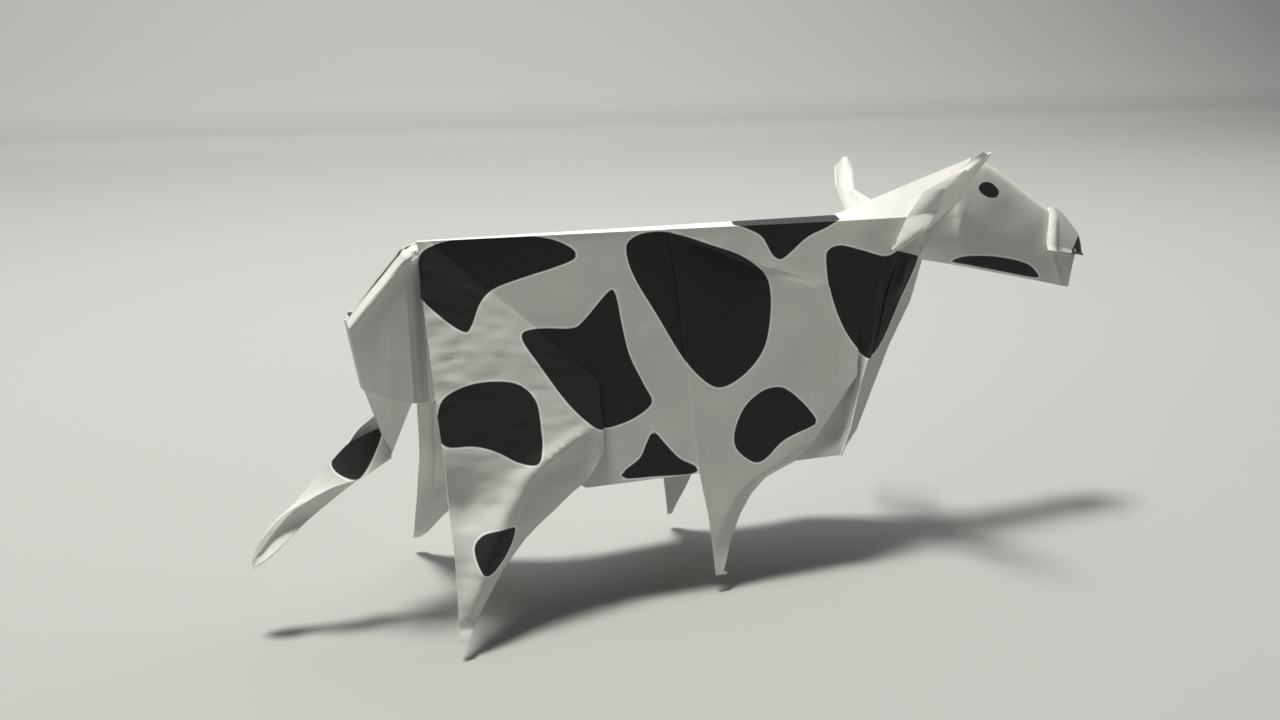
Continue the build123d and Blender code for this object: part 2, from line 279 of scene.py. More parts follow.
TAIL_SPOT = Patch("tail_spot", (
    (-11.2, 34.6), (-12.2, 31), (-15.8, 26), (-19.2, 26.6), (-20.6, 28.6), (-18.6, 31.4), (-15.4, 34.2)))
JAW = Patch("jaw", (
    (111.9, 58.5), (114.5, 59.3), (121, 59.0), (127, 58.0), (132.4, 56.4), (135.3, 54.3), (135.5, 53.0),
    (126, 55.1), (117, 57.2)))
EYE = Patch("eye", (
    (119.0, 73.8), (120.3, 74.8), (122.4, 74.6), (124.1, 73.4), (124.6, 72.3), (123.5, 71.4), (121.4, 71.6),
    (119.6, 72.6)), ringed=False)
NOSTRIL = Patch("nostril", (
    (145.6, 57.6), (147.2, 59.2), (149.0, 60.7), (150.8, 60.6), (152.0, 58.8), (151.6, 56.6),
    (148.6, 56.6)), ringed=False)
RIDGE_TOP = RIDGE.moved("ridge_top", (0, -0.6))      # the same shape where it runs over the back strip

PRINT = {
    Side.NEAR: (HIP, STAR, THIGH, BELLY, SHOULDER, NECK, ELBOW, SHANK),
    Side.FAR: (
        THIGH.moved("far_hip", (2.5, 21.5), flip_at=8), SHOULDER.moved("far_flank", (-14, -4), flip_at=52),
        BELLY.moved("far_thigh", (-33, 15)), STAR.moved("far_shoulder", (34, 9), flip_at=28),
        ELBOW.moved("far_elbow", (-2, 3), flip_at=66), SHANK.moved("far_shank", (1, 2)),
        SHANK.moved("far_neck", (83, 36), flip_at=6), BELLY.moved("far_belly", (-8, 0.5)))}


def printed(patches: Iterable[Patch], x: Array, z: Array) -> Array:
    """Distance in mm from places to the nearest print, less than zero on it."""
    return np.minimum.reduce([np.full(x.shape, UNPRINTED), *(patch.distance(x, z) for patch in patches)])


def stations(knots: Sequence[float], step: float = GRID_STEP) -> Array:
    """Values from the first knot to the last, evenly spaced between knots and with every knot kept.

    Args:
        knots: Values that have to be among them, in order.
        step: Greatest gap between two values.

    Returns:
        The values.
    """
    made = [float(knots[0])]
    for a, b in zip(knots, knots[1:]):
        count = max(1, math.ceil(abs(b - a) / step))
        made += list(np.linspace(a, b, count + 1)[1:])
    return np.array(made)


def at_numbers(points: Sequence[Sequence[float]], where: Array) -> Array:
    """Points on a bent line at whole and part point numbers."""
    columns = np.asarray(points, float).T
    return np.column_stack([np.interp(where, range(len(points)), column) for column in columns])


def even(points: Sequence[Sequence[float]], steps: int) -> Array:
    """Points on a bent line in equal steps of its own point numbers."""
    return at_numbers(points, np.linspace(0, len(points) - 1, steps + 1))


def along(points: Line, count: int) -> Array:
    """Points evenly spaced along a bent line, its ends kept.

    Args:
        points: Ends and corners of the line.
        count: Number of points wanted.

    Returns:
        One row for each point.
    """
    p = np.asarray(points, float)
    reach = np.concatenate([[0], np.cumsum(np.linalg.norm(np.diff(p, axis=0), axis=1))])
    where = np.linspace(0, reach[-1], count)
    return np.column_stack([np.interp(where, reach, column) for column in p.T])


def matched(points: Line, per_span: Sequence[int]) -> Array:
    """Points along a bent line with a set number on each span, so that two lines can be paired.

    Args:
        points: Ends and corners of the line.
        per_span: Number of steps on each span.

    Returns:
        One row for each point.
    """
    made = [np.asarray(points[0], float)]
    for a, b, count in zip(points, points[1:], per_span):
        for share in np.arange(1, count + 1) / count:
            made.append(np.asarray(a, float) * (1 - share) + np.asarray(b, float) * share)
    return np.array(made)


def ruled(first: Array, second: Array, shares: int | Sequence[float]) -> Array:
    """Grid of straight rungs between two lines with as many points each.

    Args:
        first: Points of one line.
        second: Points of the other line.
        shares: Number of equal steps on a rung, or the share of the way for each column.

    Returns:
        Points as rows by columns by three.
    """
    share = np.linspace(0, 1, shares + 1) if isinstance(shares, int) else np.asarray(shares, float)
    return first[:, None, :] * (1 - share[None, :, None]) + second[:, None, :] * share[None, :, None]


@dataclass
class PaperSheet:
    """A creased sheet of paper, gathered as grids of points that share their edges."""

    name: str
    thickness: float
    crisp_angle: float = 24.0  # folds sharper than this many degrees stay crisp
    points: list[Point] = field(default_factory=list)
    quads: list[tuple[int, ...]] = field(default_factory=list)
    print_mm: list[float] = field(default_factory=list)
    seen: dict[tuple[int, int, int], int] = field(default_factory=dict)  # point number by place

    def corner(self, point: Array, distance: float) -> int:
        """Number of a point, which is the same for two points in one place.

        Args:
            point: Where it is, in mm.
            distance: Its distance to the print, kept from the first point in that place.

        Returns:
            The point's number.
        """
        key = tuple(int(round(c * WELDS_PER_MM)) for c in point)
        if key not in self.seen:
            self.seen[key] = len(self.points)
            self.points.append(tuple(float(c) for c in point))
            self.print_mm.append(float(distance))
        return self.seen[key]

    def lay(self, side: Side, grid: Array, look: Point, patches: Iterable[Patch] = ()) -> None:
        """Add a grid of points on one side of the cow, as faces with their print.

        Args:
            side: Side of the cow.
            grid: Rows by columns of (x, out, z) points.
            look: Direction that the printed face looks in, roughly, as (x, out, z).
            patches: Shapes printed on it, if any.
        """
        marks = printed(patches, grid[:, :, 0], grid[:, :, 2])
        rows, columns = marks.shape
        flip = np.array([1, side.value, 1])
        grid = grid * flip
        number = [[self.corner(grid[i, j], marks[i, j]) for j in range(columns)] for i in range(rows)]
        across = np.cross(grid[1:, :-1] - grid[:-1, :-1], grid[:-1, 1:] - grid[:-1, :-1])
        turn = float(across.reshape(-1, 3).sum(0) @ (flip * look)) > 0
        for i in range(rows - 1):
            for j in range(columns - 1):
                ring = [number[i][j], number[i + 1][j], number[i + 1][j + 1], number[i][j + 1]]
                ring = [n for k, n in enumerate(ring) if n != ring[k - 1]]
                if len(ring) > 2:
                    self.quads.append(tuple(ring if turn else ring[::-1]))

    def steps(self, middle: Array) -> Array:
        """For each point, the step to the face of a sheet two units thick, with the folds mitred.

        Args:
            middle: The points of the middle of the sheet.

        Returns:
            One step for each point.
        """
        total = np.zeros_like(middle)
        faces = []
        for ring in self.quads:
            corners = middle[list(ring)]
            normal = np.cross(corners[2] - corners[0], corners[-1] - corners[1])
            size = np.linalg.norm(normal)
            faces.append(normal / size if size > TINY else normal)
            for n in ring:
                total[n] += normal
        length = np.linalg.norm(total, axis=1, keepdims=True)
        mean = total / np.maximum(length, TINY)
        tightest = np.ones(len(middle))
        for ring, normal in zip(self.quads, faces):
            for n in ring:
                tightest[n] = min(tightest[n], float(mean[n] @ normal))
        return mean / np.maximum(tightest, MITRE_LIMIT)[:, None]

    def borders(self) -> list[tuple[int, int]]:
        """Edges that only one face uses, in that face's own direction."""
        used = {(a, b) for ring in self.quads for a, b in zip(ring, (*ring[1:], ring[0]))}
        return [(a, b) for a, b in sorted(used) if (b, a) not in used]

    def finish(self, finishes: "Finishes") -> Piece:
        """Make the Blender piece: thicken the sheet and dress it.

        Args:
            finishes: The printed and the bare finish of the paper.

        Returns:
            The piece, riding on the body and standing for the folded sheet.
        """
        middle = np.array(self.points)
        step = self.steps(middle) * self.thickness / 2
        step[middle[:, 2] < FLOOR_BAND, 2] = 0.0
        count = len(middle)
        places = (np.vstack([middle + step, middle - step]) + np.array([hip_x(), 0, 0])) * MM
        front = self.quads
        back = [tuple(n + count for n in ring[::-1]) for ring in self.quads]
        rims = [(b, a, a + count, b + count) for a, b in self.borders()]
        mesh = bpy.data.meshes.new(self.name)
        mesh.from_pydata(places.tolist(), [], front + back + rims)
        kinds = [0] * len(front) + [1] * len(back) + [0] * len(rims)
        mesh.polygons.foreach_set("material_index", kinds)
        mesh.polygons.foreach_set("use_smooth", [True] * len(kinds))
        mark = mesh.attributes.new("print_mm", "FLOAT", "POINT")
        mark.data.foreach_set("value", self.print_mm * 2)
        for finish in (finishes.printed, finishes.bare):
            mesh.materials.append(finish)
        mesh.validate()
        mesh.set_sharp_from_angle(angle=math.radians(self.crisp_angle))
        piece = shown(self.name, mesh)
        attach(piece, BODY)
        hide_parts(NODE)
        return piece


def hip_x() -> float:
    """Place of the hip along the frame's x, in mm."""
    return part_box(NODE)[0].x / MM - TAIL_TIP_X


def shown(name: str, data: bpy.types.ID) -> Piece:
    """Put a mesh, a lamp or a camera in the scene.

    Args:
        name: Name of the new object.
        data: What it shows.

    Returns:
        The object.
    """
    made = bpy.data.objects.new(name, data)
    bpy.context.scene.collection.objects.link(made)
    return made


@dataclass(frozen=True)
class Finishes:
    """The two finishes that every sheet wears: its printed face and its bare one."""

    printed: bpy.types.Material
    bare: bpy.types.Material


@dataclass
class FoldedPart:
    """A sub-assembly of folded paper, which builds its own sheets and dresses them."""

    def sheets(self) -> list[PaperSheet]:
        """Build the part's sheets; each part has its own way."""
        raise NotImplementedError

    def build(self, finishes: Finishes) -> list[Piece]:
        """Build and dress the part's pieces."""
        return [sheet.finish(finishes) for sheet in self.sheets()]


def add_node(tree: Tree, kind: str, values: dict | None = None,
             links: dict | None = None) -> bpy.types.Node:
    """Add one shader node with its settings and links.

    Args:
        tree: Node tree that gets the node.
        kind: Blender's name for the node type.
        values: Settings by property name, and socket values by socket name or number.
        links: Sockets that feed its inputs, by input name or number.

    Returns:
        The new node.
    """
    node = tree.nodes.new(kind)
    for name, value in (values or {}).items():
        if isinstance(name, str) and hasattr(node, name):
            setattr(node, name, value)
        else:
            node.inputs[name].default_value = value
    for name, source in (links or {}).items():
        tree.links.new(source, node.inputs[name])
    return node


@dataclass(frozen=True)
class CopyPaper:
    """Uncoated 80 gram copy paper, calendered: matt white, with fibre grain and a faint cockle."""

    name: str = "uncoated_copy_paper"
    white: str = "#e9e9e5"  # bleached pulp, a touch warm
    shade: str = "#d6d8d5"  # thin places, where the next layer shows through
    roughness: float = 0.78  # matt, so no mirror glints
    ior: float = 1.45  # cellulose
    specular: float = 0.35  # air between the fibres returns less than a closed surface
    sheen: float = 0.08  # loose fibres that catch low light
    sheen_roughness: float = 0.6
    fibre_mm: float = 0.55  # real fibres are 0.03 mm wide, drawn coarse enough to show
    cockle_mm: float = 7.0  # width of the slight waves that handling leaves
    handling_mm: float = 2.2  # small dints left by fingers
    streak_mm: float = 1.1  # height of the level streaks that folding by hand leaves
    level: Point = (0.3, 0.6, 1.0)  # draws those streaks out along the cow and across it
    grain: float = 0.55  # how much the finer spots of each noise add
    clouding: float = 0.55  # share of the shade in the broad clouds, which are two cockles wide
    specking: float = 0.22  # share of it in the specks between fibres
    bump: float = 0.55  # strength of the relief
    depths_mm: tuple[float, ...] = (0.16, 0.035, 0.03, 0.006)  # of cockle, dints, streaks and fibre
    carries_print: bool = False

    def build(self) -> bpy.types.Material:
        """Make the material.

        Returns:
            The material, bare or printed.
        """
        material = bpy.data.materials.new(self.name)
        material.use_nodes = True
        tree = material.node_tree
        tree.nodes.clear()
        place = add_node(tree, "ShaderNodeTexCoord").outputs["Object"]
        level = add_node(tree, "ShaderNodeVectorMath", {"operation": "MULTIPLY", 1: self.level},
                         {0: place}).outputs[0]
        noises = (
            (place, self.cockle_mm * 2, 3), (place, self.cockle_mm, 2), (place, self.handling_mm, 2),
            (level, self.streak_mm, 3), (place, self.fibre_mm, 4))
        cloud, *heights = [
            add_node(tree, "ShaderNodeTexNoise", {"Scale": 1 / (size * MM), "Detail": detail,
                                                  "Roughness": self.grain}, {"Vector": where}).outputs[0]
            for where, size, detail in noises]
        fibre = heights[-1]
        clouds, specks = [
            add_node(tree, "ShaderNodeMapRange", {"From Min": low, "From Max": high, "To Max": most},
                     {"Value": height}).outputs[0]
            for height, low, high, most in ((cloud, 0.3, 0.7, self.clouding),
                                            (fibre, 0.35, 0.75, self.specking))]
        shade = add_node(tree, "ShaderNodeMath", {"operation": "ADD", "use_clamp": True},
                         {0: clouds, 1: specks})
        paper = add_node(tree, "ShaderNodeMix", {"data_type": "RGBA", 6: linear(self.white),
                                                 7: linear(self.shade)}, {0: shade.outputs[0]})
        colour, rough = paper.outputs[2], None
        if self.carries_print:
            colour, rough = Toner().over(tree, colour, fibre, self.roughness)
        shader = add_node(tree, "ShaderNodeBsdfPrincipled",
                          {"Roughness": self.roughness, "IOR": self.ior, "Specular IOR Level": self.specular,
                           "Sheen Weight": self.sheen, "Sheen Roughness": self.sheen_roughness},
                          {"Base Color": colour, "Normal": self.relief(tree, heights)})
        if rough is not None:
            tree.links.new(rough, shader.inputs["Roughness"])
        add_node(tree, "ShaderNodeOutputMaterial", links={"Surface": shader.outputs[0]})
        return material

    def relief(self, tree: Tree, heights: Sequence[Socket]) -> Socket:
        """Bumps of the paper, the broadest first.

        Args:
            tree: Node tree of the paper.
            heights: Height of each kind of bump, in the order of their depths.

        Returns:
            The bumped normal.
        """
        normal = None
        for height, depth in zip(heights, self.depths_mm):
            links = {"Height": height} if normal is None else {"Height": height, "Normal": normal}
            normal = add_node(tree, "ShaderNodeBump", {"Strength": self.bump, "Distance": depth * MM},
                              links).outputs[0]
        return normal


@dataclass(frozen=True)
class Toner:
    """Laser-printed toner on the paper: near-black, a little shinier, with a thin pale halo round it."""

    black: str = "#212221"
    worn: str = "#30322f"  # where less toner took
    halo: str = "#ffffff"  # pale line round each printed shape
    roughness: float = 0.52  # fused toner is smoother than paper
    edge_mm: float = 0.07  # softness of the printed edge
    halo_mm: float = 0.36  # width of the pale line

    def over(self, tree: Tree, paper: Socket, fibre: Socket, bare_roughness: float) -> tuple[Socket, Socket]:
        """Lay the print over the paper's colour and roughness.

        Args:
            tree: Node tree of the paper.
            paper: Colour of the bare paper.
            fibre: Noise of its fibres, which wears the toner.
            bare_roughness: Roughness of the bare paper.

        Returns:
            The colour and the roughness.
        """
        away = add_node(tree, "ShaderNodeAttribute", {"attribute_name": "print_mm"}).outputs["Fac"]
        ink, ring = [
            add_node(tree, "ShaderNodeMapRange",
                     {"From Min": limit - self.edge_mm, "From Max": limit + self.edge_mm,
                      "To Min": 1.0, "To Max": 0.0}, {"Value": away}).outputs[0]
            for limit in (0.0, self.halo_mm)]
        toner = add_node(tree, "ShaderNodeMix", {"data_type": "RGBA", 6: linear(self.black),
                                                 7: linear(self.worn)}, {0: fibre}).outputs[2]
        ringed = add_node(tree, "ShaderNodeMix", {"data_type": "RGBA", 7: linear(self.halo)},
                          {0: ring, 6: paper}).outputs[2]
        colour = add_node(tree, "ShaderNodeMix", {"data_type": "RGBA"},
                          {0: ink, 6: ringed, 7: toner}).outputs[2]
        rough = add_node(tree, "ShaderNodeMapRange", {"To Min": bare_roughness, "To Max": self.roughness},
                         {"Value": ink})
        return colour, rough.outputs[0]


@dataclass(frozen=True)
class Fold:
    """Sizes that the sheets share, in mm and degrees."""

    back_height: float = 69.3
    back_length: float = 84.8
    hip_half: float = 0.6
    shoulder_half: float = 3.6
    strip_drop: float = 0.7
    side_lean: float = 11.0
    belly_height: float = 20.9
    rump_front: float = 2.6
    neck_top: Point = (118.6, 0.0, 80.0)
    hood_edge: Line = ((99.2, 5.4, 68.9), (105.2, 4.4, 71.6), (110.6, 3.3, 74.6))
    chest_fold: Outline = ((95.8, 62.3), (91.8, 53.0), (90.2, 44.0), (87.0, 36.0), (83.9, 26.0))
    belly_front: float = 81.4
    belly_back: float = 25.9
    rump_hem_height: float = 40.5
    near_lapel: Line = (
        (104.9, 3.6, 59.8), (102.2, 3.9, 50.4), (96.0, 6.1, 41.6), (90.6, 8.6, 32.6), (86.0, 11.2, 25.6))
    far_lapel: Line = (
        (109.8, 3.6, 57.2), (105.0, 3.9, 47.0), (99.6, 6.1, 36.9), (93.6, 8.6, 29.6), (87.2, 11.2, 23.4))

    def side_out(self, x: Array | float, z: Array | float) -> Array | float:
        """Distance of a side from the centre line at a place along the back and a height."""
        widen = (self.shoulder_half - self.hip_half) * x / self.back_length
        return self.hip_half + widen + (self.back_height - self.strip_drop - z) * math.tan(
            math.radians(self.side_lean))

    def crease(self, x: float) -> Point:
        """Point on the crease between the back strip and a side."""
        share = max(x, 0) / self.back_length
        return (x, self.hip_half + (self.shoulder_half - self.hip_half) * share,
                self.back_height - self.strip_drop * share)

    def outside(self, place: Flat, lift: float = 0.0) -> Point:
        """Point that lies a step outside a side, at a place given as (x, z)."""
        return (place[0], self.side_out(*place) + lift, place[1])

    def lapel(self, side: Side) -> Line:
        """Front edge of the chest strip on one side."""
        return self.near_lapel if side is Side.NEAR else self.far_lapel


@dataclass
class Body(FoldedPart):
    """Back strip, neck hood, the two sides and the chest strips: the main creased sheet."""

    fold: Fold
    thickness: float = 0.24
    swells: Ripple = Ripple(0.3, 24.0, 3.0)  # how the big panels bow
    hood_blend: Flat = (62.0, 69.0)  # heights over which a side turns into the hood
    hood_stretch: float = 0.25  # how much further forward the hood's ridge runs
    hood_spans: Sequence[int] = (8, 8, 10)  # mesh steps along its lower edge
    strip_columns: int = 5
    recess: float = 1.5  # depth of the hollow in front of the shoulder flap
    recess_back: Window = (0.3, 1.5, 2.5, 9.0)  # its reach back from the fold, which keeps a rim
    recess_up: Window = (21.0, 27.0, 36.0, 44.0)
    lapel_columns: Sequence[float] = (0, 0.05, 0.1, 0.15, 0.18, 0.21, 0.24, 0.28, 0.36, 0.44, 0.5, 0.56,
                                      0.62, 0.7, 0.8, 0.9, 1)
    layer: float = 0.4  # how far the strip's outer layer stands out
    layer_across: Window = (0.0, 0.06, 0.16, 0.2)  # shares of the strip's width
    gap: float = 0.45  # depth of the gap beside that layer
    gap_at: Flat = (0.23, 0.03)
    layer_top: Flat = (55.0, 61.0)  # heights over which both fade
    roll: float = 0.5  # soft roll of the strip above them
    roll_at: Flat = (0.55, 0.12)
    roll_up: Window = (51.0, 55.0, 58.0, 61.0)
    top_line: dict[Side, Array] = field(default_factory=dict)  # both are kept as the sides are built
    fold_line: dict[Side, Array] = field(default_factory=dict)

    def panel(self, sheet: PaperSheet, side: Side) -> None:
        """Add one side, from the rump to the fold of the chest strip.

        Args:
            sheet: The sheet that gets the panel.
            side: Side of the cow.
        """
        f = self.fold
        top_x, top_out, top_z = f.hood_edge[0]
        rear = [(f.belly_height, f.belly_back), (f.rump_hem_height, -f.rump_front),
                (f.back_height, -f.rump_front)]
        front = [(f.belly_height, f.belly_front), *[(z, x) for x, z in f.chest_fold[::-1]], (top_z, top_x)]
        heights = stations(sorted({z for z, _ in front} | {f.rump_hem_height}))
        share = heights - heights[0]
        share = share / share[-1]
        u = np.linspace(0, 1, int((top_x + f.rump_front) / GRID_STEP) + 1)
        rear_x, front_x = [follow(line, heights)[:, None] for line in (rear, front)]
        x = rear_x + (front_x - rear_x) * u
        line = np.array([f.crease(v)[2] for v in np.minimum(x[-1], f.back_length)])
        over = np.clip((x[-1] - f.back_length) / (top_x - f.back_length), 0, 1)
        line = line + over * (top_z - f.back_height + f.strip_drop)
        z = heights[:, None] + (line - heights[-1]) * share[:, None] ** 2
        out = f.side_out(x, z)
        hood = ease(x, f.back_length, top_x) * ease(z, *self.hood_blend)
        out = out + hood * (top_out - f.side_out(top_x, top_z))
        inner = (1 - (2 * u - 1) ** 4) * arch(share)[:, None]
        out = out + inner * self.swells.at(x, z, side.value)
        out = out - self.recess * band(front_x - x, self.recess_back) * band(z, self.recess_up)
        grid = np.stack([x, out, z], 2)
        sheet.lay(side, grid, OUTWARD, (*PRINT[side], RIDGE))
        self.top_line[side] = grid[-1]
        self.fold_line[side] = grid[:, -1]

    def lapel(self, sheet: PaperSheet, side: Side) -> None:
        """Add the chest strip that is folded in from one side, with the gap between its layers.

        Args:
            sheet: The sheet that gets the strip.
            side: Side of the cow.
        """
        f = self.fold
        line = self.fold_line[side]
        line = line[line[:, 2] <= f.chest_fold[0][1] + TINY]
        edge = [f.outside((f.belly_front, f.belly_height)), *f.lapel(side)[::-1]]
        knots = [f.belly_height, *[z for _, z in f.chest_fold[::-1]]]
        number = np.interp(line[:, 2], knots, range(len(knots)))
        grid = ruled(line, at_numbers(edge, number), self.lapel_columns)
        share, height = np.asarray(self.lapel_columns), grid[:, :, 2]
        layers = self.layer * band(share, self.layer_across) - self.gap * hump(share, *self.gap_at)
        roll = self.roll * hump(share, *self.roll_at) * band(height, self.roll_up)
        grid[:, :, 1] += layers * fade(height, *self.layer_top) + roll
        sheet.lay(side, grid, (0.6, 1, 0), PRINT[side])

    def strip(self, sheet: PaperSheet, side: Side) -> None:
        """Add one half of the strip along the back and of the neck hood, over the side's top crease.

        Args:
            sheet: The sheet that gets them.
            side: Side of the cow.
        """
        f = self.fold
        crease = self.top_line[side]
        ridge = crease * [1, 0, 0] + [0, 0, f.back_height]
        beyond = crease[:, 0] > f.back_length
        past = crease[beyond, 0] - f.back_length
        rise = (f.neck_top[2] - f.back_height) / (f.neck_top[0] - f.back_length)
        stretch = 1.0 + self.hood_stretch * past / (f.hood_edge[0][0] - f.back_length)
        ridge[beyond, 0] = f.back_length + past * stretch
        ridge[beyond, 2] = f.back_height + rise * (ridge[beyond, 0] - f.back_length)
        sheet.lay(side, ruled(crease, ridge, self.strip_columns), UPWARD, (RIDGE_TOP,))
        edge = matched([crease[-1], *f.hood_edge[1:], f.neck_top], self.hood_spans)
        top = along([ridge[-1], f.neck_top], len(edge))
        sheet.lay(side, ruled(edge, top, self.strip_columns), UPWARD)

    def sheets(self) -> list[PaperSheet]:
        """The main sheet, whole.

        Returns:
            The one sheet.
        """
        sheet = PaperSheet("body_sheet", self.thickness)
        for side in Side:
            self.panel(sheet, side)
            self.lapel(sheet, side)
        for side in Side:
            self.strip(sheet, side)
        return [sheet]


def plane_through(p: Point, q: Point, r: Point) -> Callable[[Array, Array], Array]:
    """The plane through three points.

    Args:
        p: One (x, out, z) point.
        q: Another.
        r: The third.

    Returns:
        A function from x and z to out.
    """
    (x1, o1, z1), (x2, o2, z2), (x3, o3, z3) = p, q, r
    det = (x2 - x1) * (z3 - z1) - (x3 - x1) * (z2 - z1)
    by_x = ((o2 - o1) * (z3 - z1) - (o3 - o1) * (z2 - z1)) / det
    by_z = ((x2 - x1) * (o3 - o1) - (x3 - x1) * (o2 - o1)) / det
    return lambda x, z: o1 + by_x * (x - x1) + by_z * (z - z1)


def between(rear: Outline, front: Outline, columns: int) -> tuple[Array, Array, Array]:
    """Grid of places between two borders that both run upward.

    Args:
        rear: Rear border, as (z, x) pairs.
        front: Front border, as (z, x) pairs.
        columns: Number of steps from one to the other.

    Returns:
        x and z of each place, and its share of the way from the rear border to the front one.
    """
    heights = stations(sorted({round(z, 3) for z, _ in (*rear, *front)}))
    rear_x, front_x = [follow(line, heights)[:, None] for line in (rear, front)]
    u = np.linspace(0, 1, columns + 1)[None, :]
    x = rear_x + (front_x - rear_x) * u
    z = np.repeat(heights[:, None], columns + 1, axis=1)
    return x, z, np.repeat(u, len(heights), axis=0)


@dataclass
class HindLeg(FoldedPart):
    """Flap folded out from the side along a slanting crease, down to the hind foot, and its hem."""

    fold: Fold
    side: Side
    thickness: float = 0.3
    crease_end: Flat = (29.9, 41.3)
    top_height: float = 69.0
    lift: float = 0.1  # how far the crease lies outside the side
    foot_out: float = 23.0
    heel_back: float = 2.6
    rear_edge: Outline = (
        (0.0, -2.6), (7.0, -2.2), (15.0, -1.8), (27.0, -1.8), (41.0, -2.3), (55.0, -2.55), (69.0, -2.6))
    front_edge: Outline = (
        (0.0, -0.9), (2.4, 0.9), (5.6, 3.3), (10.1, 7.2), (14.2, 12.2), (18.2, 18.8), (22.8, 25.9),
        (28.0, 29.7))
    crest_line: Outline = (
        (3.5, -0.8), (11.0, 3.0), (20.0, 8.3), (25.9, 13.2), (30.0, 20.0), (34.0, 29.0))
    turn: float = 0.3  # how far the part beyond the crest turns under, for its width
    turn_widest: float = 9.0
    turn_top: Flat = (26.0, 33.0)
    turn_front: Flat = (22.0, 29.0)  # where it weakens towards the belly
    crest: float = 0.75  # height of the soft ridge along the crest line
    crest_width: float = 2.6
    crest_up: Window = (1.0, 8.0, 28.0, 36.0)
    hollow: float = 1.9  # depth of the dip under the thigh
    hollow_at: Spot = Spot(1.0, 22.8, 4.6, 5.4)
    dints: Ripple = Ripple(0.35, 1.3, 6.0, up=2.0)
    dint_depth: float = 0.21  # pressed place beside the dip
    dint_at: Spot = Spot(6.4, 21.3, 1.7, 1.0)
    wrinkles: Ripple = Ripple(0.28, 2.6, 8.0, along=0.6, up=1.7)
    specks: Ripple = Ripple(0.084, 1.9, 9.0)
    crumpled: Spot = Spot(0.0, 48.0, 4.5, 7.0)  # where the two above show, below the hip
    streaks: Ripple = Ripple(0.13, 2.2, 14.0, along=0.5, up=1.8)
    swells: Ripple = Ripple(0.4, 13.0, 5.0)
    foot_flare: float = 0.7  # how far the foot spreads out
    skin: float = 0.05  # keeps the flap clear of the side
    columns: int = 44
    hem_gap: float = 1.0  # from the flap to the layer inside it
    hem_inset: float = 1.5  # how far its front edge lies behind the flap's
    hem_columns: int = 24
    hem_rear: Outline = ((13.8, 1.5), (34.6, 1.0), (59.6, 0.3))
    hem_front: Outline = ((13.8, 10.2), (24.3, 24.4), (29, 27.7), (42.8, 27.9), (59.6, 0.6))

    def relief(self, x: Array, z: Array, front_x: Array) -> Array:
        """How far the paper stands out from the flap's plane.

        Args:
            x: Places along the cow.
            z: Heights.
            front_x: Where the front edge lies at each height.

        Returns:
            One distance in mm for each place, outward.
        """
        crest_x = follow(self.crest_line, z)
        width = np.maximum(front_x - crest_x, 0.5)
        beyond = np.clip((x - crest_x) / width, 0, 1) ** 1.5
        turned = self.turn * np.minimum(width, self.turn_widest) * beyond * fade(z, *self.turn_top)
        turned = turned * (1 - 0.7 * ease(x, *self.turn_front))
        crest = self.crest * hump(x - crest_x, 0, self.crest_width) * band(z, self.crest_up)
        hollow = self.hollow * self.hollow_at.share(x, z)
        dint = (self.dints.at(x, z) - self.dint_depth) * self.dint_at.share(x, z)
        crumple = (self.wrinkles.at(x, z) + self.specks.at(x, z)) * self.crumpled.share(x, z)
        streak = self.streaks.at(x, z) * ease(front_x - x, 0, 3)
        swell = self.swells.at(x, z, self.side.value) * ease(front_x - x, 0, 4)
        swell = swell * ease(self.top_height - z, 0, 12)
        flare = self.foot_flare * fade(z, 0.2, 2.0)
        return crest - turned - hollow + dint + crumple + streak + swell + flare

    def sheets(self) -> list[PaperSheet]:
        """The flap and its hem.

        Returns:
            Both sheets.
        """
        f = self.fold
        label = self.side.name.lower()
        plane = plane_through((0, f.hip_half + self.lift, self.top_height),
                              f.outside(self.crease_end, self.lift), (-self.heel_back, self.foot_out, 0))
        front = [*self.front_edge, self.crease_end[::-1], (self.top_height, 0.0)]
        x, z, _ = between(smooth(self.rear_edge, 5), front, self.columns)
        out = plane(x, z) + self.relief(x, z, x[:, -1:]) + self.skin
        flap = PaperSheet(f"hind_leg_{label}", self.thickness)
        flap.lay(self.side, np.stack([x, out, z], 2), OUTWARD, PRINT[self.side])
        x, z, _ = between(self.hem_rear, self.hem_front, self.hem_columns)
        sunk = np.minimum(self.relief(x, z, x[:, -1:] + self.hem_inset), 0)
        hem = PaperSheet(f"hind_hem_{label}", self.thickness)
        hem.lay(self.side, np.stack([x, plane(x, z) + sunk - self.hem_gap, z], 2), OUTWARD)
        return [flap, hem]


PLAIN_TOE = ((0.0, 52.7), (0.7, 53.1))       # the far front foot, without the near one's hook


